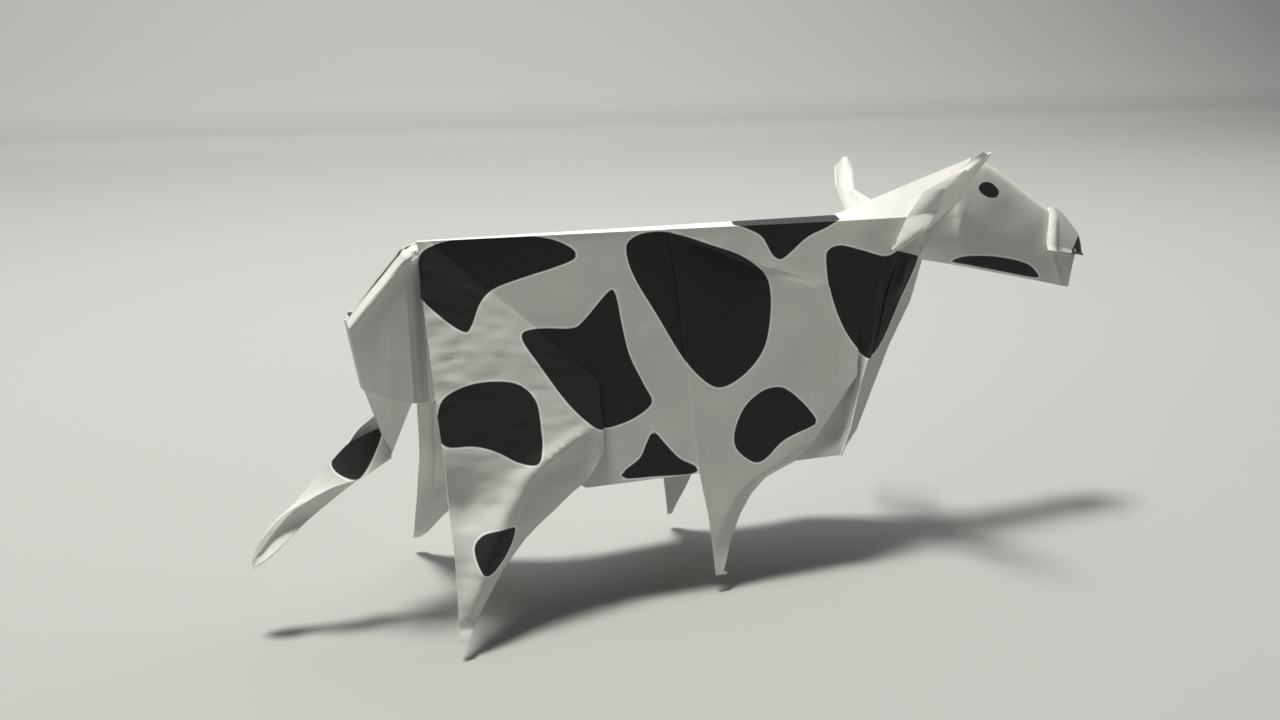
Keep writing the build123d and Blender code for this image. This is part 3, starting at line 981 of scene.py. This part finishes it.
@dataclass
class FrontLeg(FoldedPart):
    """Flap laid over the side, from the back down to the front foot."""

    fold: Fold
    side: Side
    thickness: float = 0.3
    back_x: float = 46.3  # rear corner of the flap, under the back
    corner: Flat = (86.0, 37.2)  # its front corner
    foot: Flat = (51.7, 16.0)  # along the cow, and out
    lift: float = 0.5  # how far it lies outside the side
    joined_along: Flat = (72, 87)  # where it runs into the side
    joined_up: Flat = (34, 50)
    joined_lift: float = 0.3
    swells: Ripple = Ripple(0.3, 17.0, 11.0)
    roll: float = 1.0  # how far the front edge rolls under above the foot
    roll_width: float = 4.5
    roll_up: Window = (1, 8, 19, 24)
    loose: float = 0.45  # how far the edge lifts below the back
    loose_width: float = 3.0
    loose_up: Window = (58, 63, 66, 68.3)
    columns: int = 46
    step: float = 0.0  # how far the foot is set forward
    toe: Outline = ((0.0, 54.2), (0.35, 54.0), (0.7, 53.4))  # small hook at the foot
    rear_edge: Outline = (
        (0.0, 51.7), (6.0, 51.4), (13.0, 50.8), (21.4, 49.5), (42.3, 48.3), (61.9, 47.2), (68.3, 46.3))
    front_edge: Outline = (
        (5.7, 55.4), (11.4, 58.2), (15.0, 60.7), (18.1, 64.2), (20.6, 70.6), (24.8, 75.2), (37.2, 86.0),
        (47.0, 87.0), (56.2, 80.2), (58.6, 72.6), (61.4, 64.8), (65.0, 57.5), (68.3, 47.2))

    def sheets(self) -> list[PaperSheet]:
        """The flap.

        Returns:
            The one sheet.
        """
        f = self.fold
        plane = plane_through(f.outside((self.back_x, f.back_height), self.lift),
                              f.outside(self.corner, self.lift), (*self.foot, 0))
        x, z, u = between(self.rear_edge, (*self.toe, *self.front_edge), self.columns)
        from_edge = (1 - u) * (x[:, -1:] - x[:, :1])
        joined = ease(x, *self.joined_along) * ease(z, *self.joined_up)
        out = plane(x, z) * (1 - joined) + (f.side_out(x, z) + self.joined_lift) * joined
        out = out + self.swells.at(x, z, self.side.value) * ease(from_edge, 0, 5)
        roll = (1 - np.clip(from_edge / self.roll_width, 0, 1)) ** 2 * band(z, self.roll_up)
        loose = fade(from_edge, 0, self.loose_width) * band(z, self.loose_up)
        out = out - self.roll * roll + self.loose * loose
        x = x + self.step * np.clip(1 - z / f.belly_height, 0, 1)
        sheet = PaperSheet(f"front_leg_{self.side.name.lower()}", self.thickness)
        sheet.lay(self.side, np.stack([x, out, z], 2), OUTWARD, PRINT[self.side])
        return [sheet]


@dataclass
class Rump(FoldedPart):
    """Two panels that meet in the rear fold, open along the top, with the web that carries the tail."""

    thickness: float = 0.26
    near_top: Line = (
        (-2.6, 0.8, 69.2), (-5.3, 1.5, 67.9), (-8.8, 1.7, 63.9), (-12.6, 1.8, 59.8), (-16.0, 1.6, 55.9))
    far_top: Line = (
        (-2.6, 0.8, 69.2), (-5.3, 1.5, 67.9), (-10.2, 1.7, 62.4), (-14.6, 1.8, 57.0), (-15.5, 1.6, 57.2))
    low: Line = (
        (-2.6, 4.9, 40.2), (-5.6, 6.0, 40.4), (-9.6, 4.9, 41.4), (-12.4, 3.2, 42.3), (-13.9, 1.9, 42.7))
    bow: float = 0.5  # how far the panels bow out
    swells: Ripple = Ripple(0.3, 8.0, 21.0)
    curl: float = 0.9  # how far the top edges round over
    curl_at: Flat = (1.6, 1.6)  # below the edge
    curl_edge: float = 1.3
    crumpled: Spot = Spot(-3.8, 67.6, 2.6, 2.4)  # at the hip corner
    crumple_out: float = 0.4
    crumples: Ripple = Ripple(0.9, 1.3, 24.0)
    specks: Ripple = Ripple(0.5, 0.7, 25.0)
    strip: float = 0.12  # edge of the layer that shows through beside the flank
    strip_at: Flat = (-4.2, 0.5)
    slit: float = 0.15  # least half width between the panels
    rear_round: float = 0.3  # how far the rear fold stands behind them
    rear_open: Flat = (56.6, 55.6)  # heights over which the far panel leaves that fold
    web_point: Point = (-9.7, 0.8, 28.7)
    web_columns: int = 16
    crowding: float = 1.4  # draws the rows towards the top edge
    rows: int = 44
    columns: int = 32

    def panel(self, side: Side) -> Array:
        """One side of the rump, from its lower crease to its top edge.

        Args:
            side: Side of the cow.

        Returns:
            Grid of (x, out, z) points.
        """
        v = 1 - (1 - np.linspace(0, 1, self.rows + 1)) ** self.crowding
        low = even(self.low, self.columns)
        top = even(self.near_top if side is Side.NEAR else self.far_top, self.columns)
        x, out, z = np.moveaxis(ruled(low, top, v), 2, 0).swapaxes(1, 2)
        body = arch(v)[:, None] * arch(np.linspace(0, 1, self.columns + 1))
        out = out + (self.bow + self.swells.at(x, z, side.value)) * body
        from_top = (1 - v)[:, None] * (top[:, 2] - low[:, 2])
        out = out + self.curl * (hump(from_top, *self.curl_at) - 1.2 * fade(from_top, 0, self.curl_edge))
        crumple = self.crumple_out + self.crumples.at(x, z) + self.specks.at(x, z)
        strip = self.strip * hump(x, *self.strip_at) * ease(from_top, 2, 8)
        out = out + self.crumpled.share(x, z) * crumple + strip
        return np.stack([x, np.maximum(out, self.slit), z], 2)

    def sheets(self) -> list[PaperSheet]:
        """Both panels of the rump, with the web.

        Returns:
            The one sheet.
        """
        sheet = PaperSheet("rump", self.thickness)
        for side in Side:
            grid = self.panel(side)
            sheet.lay(side, grid, (-0.4, 1, 0))
            rear = grid[:, -1]
            middle = rear * [1, 0, 1] - [self.rear_round, 0, 0]
            reach = ease(rear[:, 2], *self.rear_open)[:, None] if side is Side.FAR else 1.0
            sheet.lay(side, ruled(rear, middle * reach + rear * (1 - reach), 3), (-1, 0, 0))
            self.web(sheet, side, grid[0, self.columns // 4:])
        return [sheet]

    def web(self, sheet: PaperSheet, side: Side, crease: Array) -> None:
        """Add the triangle tucked under the lower crease, whose point carries the tail."""
        inner, point = crease * [1, 0.9, 1] + [0, 0, 0.6], np.array([self.web_point] * len(crease))
        sheet.lay(side, ruled(inner, point, self.web_columns), (0, 1, -0.2))


@dataclass
class Tail(FoldedPart):
    """Narrow strip flicked back and down, with a half twist that turns its channel to the near side."""

    thickness: float = 0.3
    top: Line = (
        (-11.6, 0.6, 34.6), (-15.0, 0.4, 33.2), (-17.8, 0.0, 31.6), (-22.6, 0.0, 26.7), (-27.8, 0.0, 21.3),
        (-30.9, 0.0, 18.9), (-33.9, 0.0, 15.7), (-36.3, 0.0, 11.8))
    crease: Line = (
        (-9.8, 1.8, 29.2), (-13.2, 2.6, 27.2), (-16.5, 2.9, 25.8), (-20.8, 2.9, 24.9), (-25.4, 2.0, 22.7),
        (-28.6, 0.8, 20.2), (-32.2, 0.6, 16.4), (-36.3, 0.4, 11.2))
    low: Line = (
        (-9.7, 1.4, 28.7), (-13.2, 1.9, 27.0), (-16.6, 2.3, 25.4), (-20.4, 1.2, 22.3), (-24.4, 0.8, 19.2),
        (-28.2, 1.4, 16.3), (-32.6, 2.3, 12.9), (-36.2, 0.9, 10.0))
    back_root: Line = ((-12.0, 1.3, 36.4), (-15.2, 1.0, 34.3))  # then along the top line
    steps: int = 72
    columns: int = 8
    dish: float = 0.75  # depth of the channel near the tip
    dish_along: Window = (0.45, 0.7, 0.9, 1.0)  # shares of the tail's length
    back_out: float = 0.6  # width of the layer behind, for that of the channel

    def sheets(self) -> list[PaperSheet]:
        """The tail: its printed facet, its channel facet and the layer behind them.

        Returns:
            The one sheet.
        """
        sheet = PaperSheet("tail", self.thickness)
        top, crease, low, back = [even(smooth(line, 12), self.steps) for line in (
            self.top, self.crease, self.low, (*self.back_root, *self.top[2:]))]
        sheet.lay(Side.NEAR, ruled(top, crease, self.columns), (0, 1, 0.3), (TAIL_SPOT,))
        channel = ruled(crease, low, self.columns)
        t = np.linspace(0, 1, self.steps + 1)[:, None]
        channel[:, :, 1] -= self.dish * band(t, self.dish_along) * arch(np.linspace(0, 1, self.columns + 1))
        sheet.lay(Side.NEAR, channel, (0, 1, 0.2), (TAIL_SPOT,))
        sheet.lay(Side.FAR, ruled(back, low * [1, self.back_out, 1], self.columns), (0, 1, 0.3))
        return [sheet]


@dataclass
class Ear(FoldedPart):
    """Folded leaf that turns out and up from the top of the chest strip, in flat facets."""

    side: Side
    upper: Line
    crease: Line
    lower: Line
    spans: Sequence[int] = (6, 6, 8, 8, 10)
    columns: int = 8
    thickness: float = 0.36
    bow: float = 0.5  # how far each facet bows between the creases
    wrinkles: Ripple = Ripple(0.18, 2.6, 41.0)
    crisp_angle: float = 16.0  # its flat creases stay crisp from this many degrees

    def sheets(self) -> list[PaperSheet]:
        """The ear, as two rows of facets that meet in the crease.

        Returns:
            The one sheet.
        """
        sheet = PaperSheet(f"ear_{self.side.name.lower()}", self.thickness, self.crisp_angle)
        upper, crease, lower = [matched(line, self.spans) for line in (self.upper, self.crease, self.lower)]
        lengthwise = arch(np.linspace(0, 1, len(crease)))[:, None]
        across = arch(np.linspace(0, 1, self.columns + 1))
        for first, second, look, bow in ((upper, crease, (-0.3, 1, 1), self.bow),
                                         (crease, lower, (1, 1, -0.2), -self.bow)):
            grid = ruled(first, second, self.columns)
            grid[:, :, 1] += bow * across * lengthwise
            grid[:, :, 1] += self.wrinkles.at(grid[:, :, 0], grid[:, :, 2]) * across
            sheet.lay(self.side, grid, look)
        return [sheet]


NEAR_EAR = Ear(
    Side.NEAR,
    upper=(
        (95.0, 7.2, 62.3), (96.5, 7.1, 65.8), (97.8, 7.4, 69.1), (99.7, 10.0, 74.7), (100.7, 17.6, 78.8),
        (102.7, 24.2, 84.25)),
    crease=(
        (96.2, 7.6, 62.7), (99.1, 12.0, 67.7), (100.9, 13.5, 71.7), (100.2, 16.3, 76.3), (101.0, 21.8, 80.5),
        (103.4, 24.4, 83.6)),
    lower=(
        (100.0, 5.0, 63.3), (102.8, 8.5, 67.3), (104.6, 11.5, 70.8), (104.6, 15.5, 73.4),
        (103.6, 21.0, 79.2), (104.5, 24.3, 83.9)))
FAR_EAR = Ear(
    Side.FAR,
    upper=(
        (95.8, 7.2, 62.3), (93.4, 9.5, 68.5), (93.8, 15.0, 73.6), (96.6, 20.5, 76.9), (101.0, 24.6, 78.3)),
    crease=(
        (99.4, 7.0, 62.0), (97.4, 10.0, 67.6), (96.4, 14.2, 72.0), (99.2, 19.6, 75.4), (102.0, 24.6, 78.3)),
    lower=(
        (104.9, 4.6, 60.6), (102.8, 9.4, 68.6), (98.2, 14.6, 72.2), (101.6, 20.6, 75.0),
        (102.8, 24.5, 77.2)),
    spans=(8, 8, 8, 10))


@dataclass
class Head(FoldedPart):
    """Head folded along its top, open under the jaw, with the pleat wrapped over the nose."""

    thickness: float = 0.34
    top: Outline = (
        (103.4, 62.5), (104.6, 66.5), (112.6, 71.0), (116.2, 79.2), (121.4, 78.9), (125.2, 77.0),
        (140.2, 67.4), (141.4, 65.6), (147.4, 59.6))
    jaw: Outline = ((103.4, 59.6), (111.7, 57.9), (135.8, 52.3), (146.1, 49.7), (147.4, 56.6))
    jaw_half: Outline = ((103.4, 3.4), (111.7, 4.1), (135.8, 3.6), (146.1, 2.3), (147.4, 1.4))
    top_half: Outline = ((103.4, 3.2), (104.6, 3.0), (112.6, 2.7), (116.2, 0.0), (147.4, 0.0))
    cheek: float = 1.2  # how far the cheek bows out
    rim: float = 0.45  # half width of the rounded fold along the top
    tuck: float = 0.45  # height of the pinched wrinkle beside the ear
    tuck_at: Spot = Spot(111.4, 69.0, 2.0, 0.7)
    groove_at: Spot = Spot(111.4, 70.1, 2.0, 0.6)  # pressed in above it
    brow: float = 0.45  # soft fold behind the cheek
    brow_at: Spot = Spot(112.8, 64.0, 1.2, 5.5)
    wrinkles: Ripple = Ripple(0.22, 1.6, 33.0, up=1.5)
    wrinkled: Spot = Spot(113.0, 69.0, 3.5, 2.6)
    swells: Ripple = Ripple(0.3, 9.0, 31.0)
    chin: Flat = (0.3, 0.35)  # rise before the fold of the chin, and drop beyond it
    chin_line: Outline = ((50.0, 144.0), (58.5, 139.4))
    knots: tuple[float, ...] = (103.4, 112.6, 116.2, 121.4, 125.2, 140.2, 141.4, 146.1, 147.4)
    columns: int = 36
    mesh_step: float = 0.6
    nose_top: Outline = (
        (140.3, 67.4), (142.9, 67.1), (144.4, 66.2), (149.3, 61.4), (150.5, 58.6), (150.8, 57.0))
    nose_at: tuple[float, ...] = (0.0, 0.2, 0.3, 0.78, 0.93, 1.0)
    nose_low: tuple[Point, Point] = ((137.3, 4.7, 59.3), (150.3, 1.1, 56.8))
    nose_length: float = 13.0
    nose_columns: int = 20
    inner_start: float = 1.0  # where its inner layer starts, from the rear edge
    inner_inset: float = 0.55
    lip: float = 0.4  # how far its lower edge turns out
    inner_end: float = 2.6  # how far its inner layer stops short of the tip
    squareness: float = 1.15  # how fast the pleat widens below its top fold
    bead: Outline = (
        (1.7, -0.75), (0.6, -0.85), (-0.1, -0.2), (0.1, 0.65), (0.9, 1.05), (1.8, 0.8), (2.5, 0.2),
        (3.1, 0.0))  # rolled rear edge, as (along, out)

    def relief(self, x: Array, z: Array, share: Array) -> Array:
        """Shape of the pinch at the ear, the soft fold behind the cheek and the fold of the chin.

        Args:
            x: Places along the head.
            z: Heights.
            share: Share of the way from the top fold to the jaw.

        Returns:
            One distance in mm for each place, outward.
        """
        pinch = self.tuck * (self.tuck_at.share(x, z) - 0.8 * self.groove_at.share(x, z))
        brow = self.brow * self.brow_at.share(x, z)
        wrinkle = self.wrinkles.at(x, z) * self.wrinkled.share(x, z)
        past_chin = x - follow(self.chin_line, z)
        chin = self.chin[0] * hump(past_chin, -0.3, 1.0) - self.chin[1] * ease(past_chin, 0.0, 1.2)
        return (pinch + brow + wrinkle + self.swells.at(x, z)) * arch(share) + chin * ease(share, 0.1, 0.3)

    def sheets(self) -> list[PaperSheet]:
        """The head and the nose pleat.

        Returns:
            Both sheets.
        """
        sheet = PaperSheet("head", self.thickness)
        xs = stations(self.knots, self.mesh_step)
        share = np.linspace(0, 1, self.columns + 1)[None, :]
        z_top, z_low, o_top, o_low = [follow(line, xs)[:, None] for line in (
            self.top, self.jaw, self.top_half, self.jaw_half)]
        x = np.repeat(xs[:, None], share.shape[1], 1)
        z = z_top * (1 - share) + z_low * share
        out = o_top * (1 - share) + o_low * share + self.cheek * arch(share) ** 0.8
        out = out + self.rim * (1 - np.exp(-share / 0.03)) * (1 - share) + self.relief(x, z, share)
        for side, patches in ((Side.NEAR, (JAW, EYE)), (Side.FAR, (JAW.moved("far_jaw", (2, 0)), EYE))):
            sheet.lay(side, np.stack([x, np.maximum(out, 0), z], 2), (0, 1, 0.2), patches)
        return [sheet, self.nose()]

    def pleat(self, reach: Array, step: Array, inset: float) -> Array:
        """One layer of one side of the nose pleat, from its top fold to its lower edge.

        Args:
            reach: Distance from the rear edge for each row.
            step: How far each row stands out from the flat of the pleat.
            inset: How far the layer lies inside the outer one; it hangs as far below it.

        Returns:
            Grid of (x, out, z) points.
        """
        t = np.clip(reach / self.nose_length, 0, 1)[:, None]
        share = np.linspace(0, 1, self.nose_columns + 1)[None, :]
        top_x, top_z = [np.interp(t, self.nose_at, column) for column in zip(*self.nose_top)]
        low_x, low_out, low_z = [a * (1 - t) + b * t for a, b in zip(*self.nose_low)]
        x = top_x * (1 - share) + low_x * share + np.minimum(reach, 0)[:, None]
        z = top_z * (1 - share) + (low_z - inset) * share
        out = (low_out - inset) * (1 - (1 - share) ** self.squareness) + step[:, None] * ease(share, 0, 0.3)
        out = out + self.lip * ease(share, 0.88, 1.0)
        z = z + 0.6 * step[:, None] * fade(share, 0.05, 0.35) - inset * (1 - share)
        return np.stack([x, np.maximum(out, 0), z], 2)

    def nose(self) -> PaperSheet:
        """The pleat, with its rolled rear edge and the layer that shows below it.

        Returns:
            The sheet of the pleat.
        """
        sheet = PaperSheet("nose", self.thickness)
        flat = stations([self.bead[-1][0], self.nose_length], 0.5)[1:]
        outer = np.vstack([smooth(self.bead, 4), np.column_stack([flat, 0 * flat])])
        inner = stations([self.inner_start, self.nose_length - self.inner_end], self.mesh_step)
        for side in Side:
            sheet.lay(side, self.pleat(outer[:, 0], outer[:, 1], 0.0), (0, 1, 0.2), (NOSTRIL,))
            sheet.lay(side, self.pleat(inner, 0 * inner, self.inner_inset), (0, 1, 0.2))
        return sheet


@dataclass(frozen=True)
class Lamp:
    """A soft square lamp, with its place and aim in mm from the hip."""

    name: str
    place: Point
    aim: Point
    size: float  # width in metres
    watts: float
    colour: str


LAMPS = (
    Lamp("key", (-148, 126, 1216), (50, 0, 40), 0.22, 18.5, "#fffcf5"),
    Lamp("left", (-750, -300, 420), (50, 0, 40), 0.3, 0.5, "#fbfaf4"),
    Lamp("backdrop", (500, 600, 800), (480, 1150, 0), 1.4, 7.0, "#ffffff"))


@dataclass(frozen=True)
class Studio:
    """Plain pale floor that sweeps up behind, soft light and the photograph's camera."""

    azimuth: float = -21.0
    elevation: float = 16.0
    distance: float = 231.6
    target: Point = (41.3, 0.0, 42.3)
    focal_px: float = 1143.0
    photo_width: float = 1280.0
    sensor: float = 36.0
    board: str = "#a8aaa8"  # matt painted board, which spreads the lamps' light
    board_roughness: float = 0.85
    half_width: float = 2.6  # of the floor, in metres
    sweep: Outline = ((-1.5, 0.0), (0.55, 0.0), (0.85, 0.05), (1.05, 0.2), (1.15, 0.5), (1.18, 1.6))
    sky: str = "#dfe3e4"
    sky_strength: float = 0.045

    def point(self, place: Point) -> Vector:
        """A place in the folder's millimetres as a Blender point."""
        return Vector((place[0] + hip_x(), place[1], place[2])) * MM

    def turn(self, thing: Piece, look: Vector) -> None:
        """Turn a lamp or a camera to look in a direction."""
        thing.rotation_mode = "QUATERNION"
        thing.rotation_quaternion = look.to_track_quat("-Z", "Y")

    def camera(self) -> None:
        """Make the camera at the photograph's angle."""
        a, e = math.radians(self.azimuth), math.radians(self.elevation)
        back = Vector((math.sin(a) * math.cos(e), -math.cos(a) * math.cos(e), math.sin(e)))
        data = bpy.data.cameras.new("camera")
        data.sensor_width = self.sensor
        data.lens = self.focal_px / self.photo_width * self.sensor
        data.clip_start, data.clip_end = 0.01, 20
        camera = shown("camera", data)
        camera.location = self.point(self.target) + back * self.distance * MM
        self.turn(camera, -back)
        bpy.context.scene.camera = camera

    def floor(self) -> None:
        """Make the floor, which sweeps up into a backdrop far behind."""
        line = smooth(self.sweep)
        points = [(x, y, z) for x in (-self.half_width, self.half_width) for y, z in line]
        n = len(line)
        faces = [(i, i + 1, n + i + 1, n + i) for i in range(n - 1)]
        mesh = bpy.data.meshes.new("floor")
        mesh.from_pydata(points, [], faces)
        mesh.polygons.foreach_set("use_smooth", [True] * len(faces))
        material = bpy.data.materials.new("painted_board")
        material.use_nodes = True
        shader = material.node_tree.nodes["Principled BSDF"]
        shader.inputs["Base Color"].default_value = linear(self.board)
        shader.inputs["Roughness"].default_value = self.board_roughness
        mesh.materials.append(material)
        shown("floor", mesh)

    def hang(self, lamp: Lamp) -> None:
        """Hang one lamp.

        Args:
            lamp: The lamp's sizes.
        """
        data = bpy.data.lights.new(lamp.name, "AREA")
        data.size = lamp.size
        data.energy = lamp.watts
        data.color = linear(lamp.colour)[:3]
        hung = shown(lamp.name, data)
        hung.location = self.point(lamp.place)
        self.turn(hung, self.point(lamp.aim) - hung.location)

    def build(self) -> None:
        """Make the floor, the lamps, the sky and the camera."""
        self.floor()
        for lamp in LAMPS:
            self.hang(lamp)
        world = bpy.data.worlds.new("sky")
        world.use_nodes = True
        world.node_tree.nodes["Background"].inputs["Color"].default_value = linear(self.sky)
        world.node_tree.nodes["Background"].inputs["Strength"].default_value = self.sky_strength
        bpy.context.scene.world = world
        bpy.context.scene.view_settings.view_transform = "Standard"
        self.camera()


def main() -> None:
    """Build every sheet in order, then the studio, and note the size."""
    logging.basicConfig(level=logging.INFO, format="%(message)s")
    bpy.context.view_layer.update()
    finishes = Finishes(printed=CopyPaper("printed_copy_paper", carries_print=True).build(),
                        bare=CopyPaper().build())
    fold = Fold()
    parts = [Body(fold), Rump(), Tail(), HindLeg(fold, Side.NEAR), FrontLeg(fold, Side.NEAR),
             HindLeg(fold, Side.FAR, foot_out=23.4), FrontLeg(fold, Side.FAR, step=2.5, toe=PLAIN_TOE),
             NEAR_EAR, FAR_EAR, Head()]
    pieces = [piece for part in parts for piece in part.build(finishes)]
    for piece in pieces:
        LOG.info("%s: %d faces", piece.name, len(piece.data.polygons))
    Studio().build()


if __name__ == "__main__":
    main()
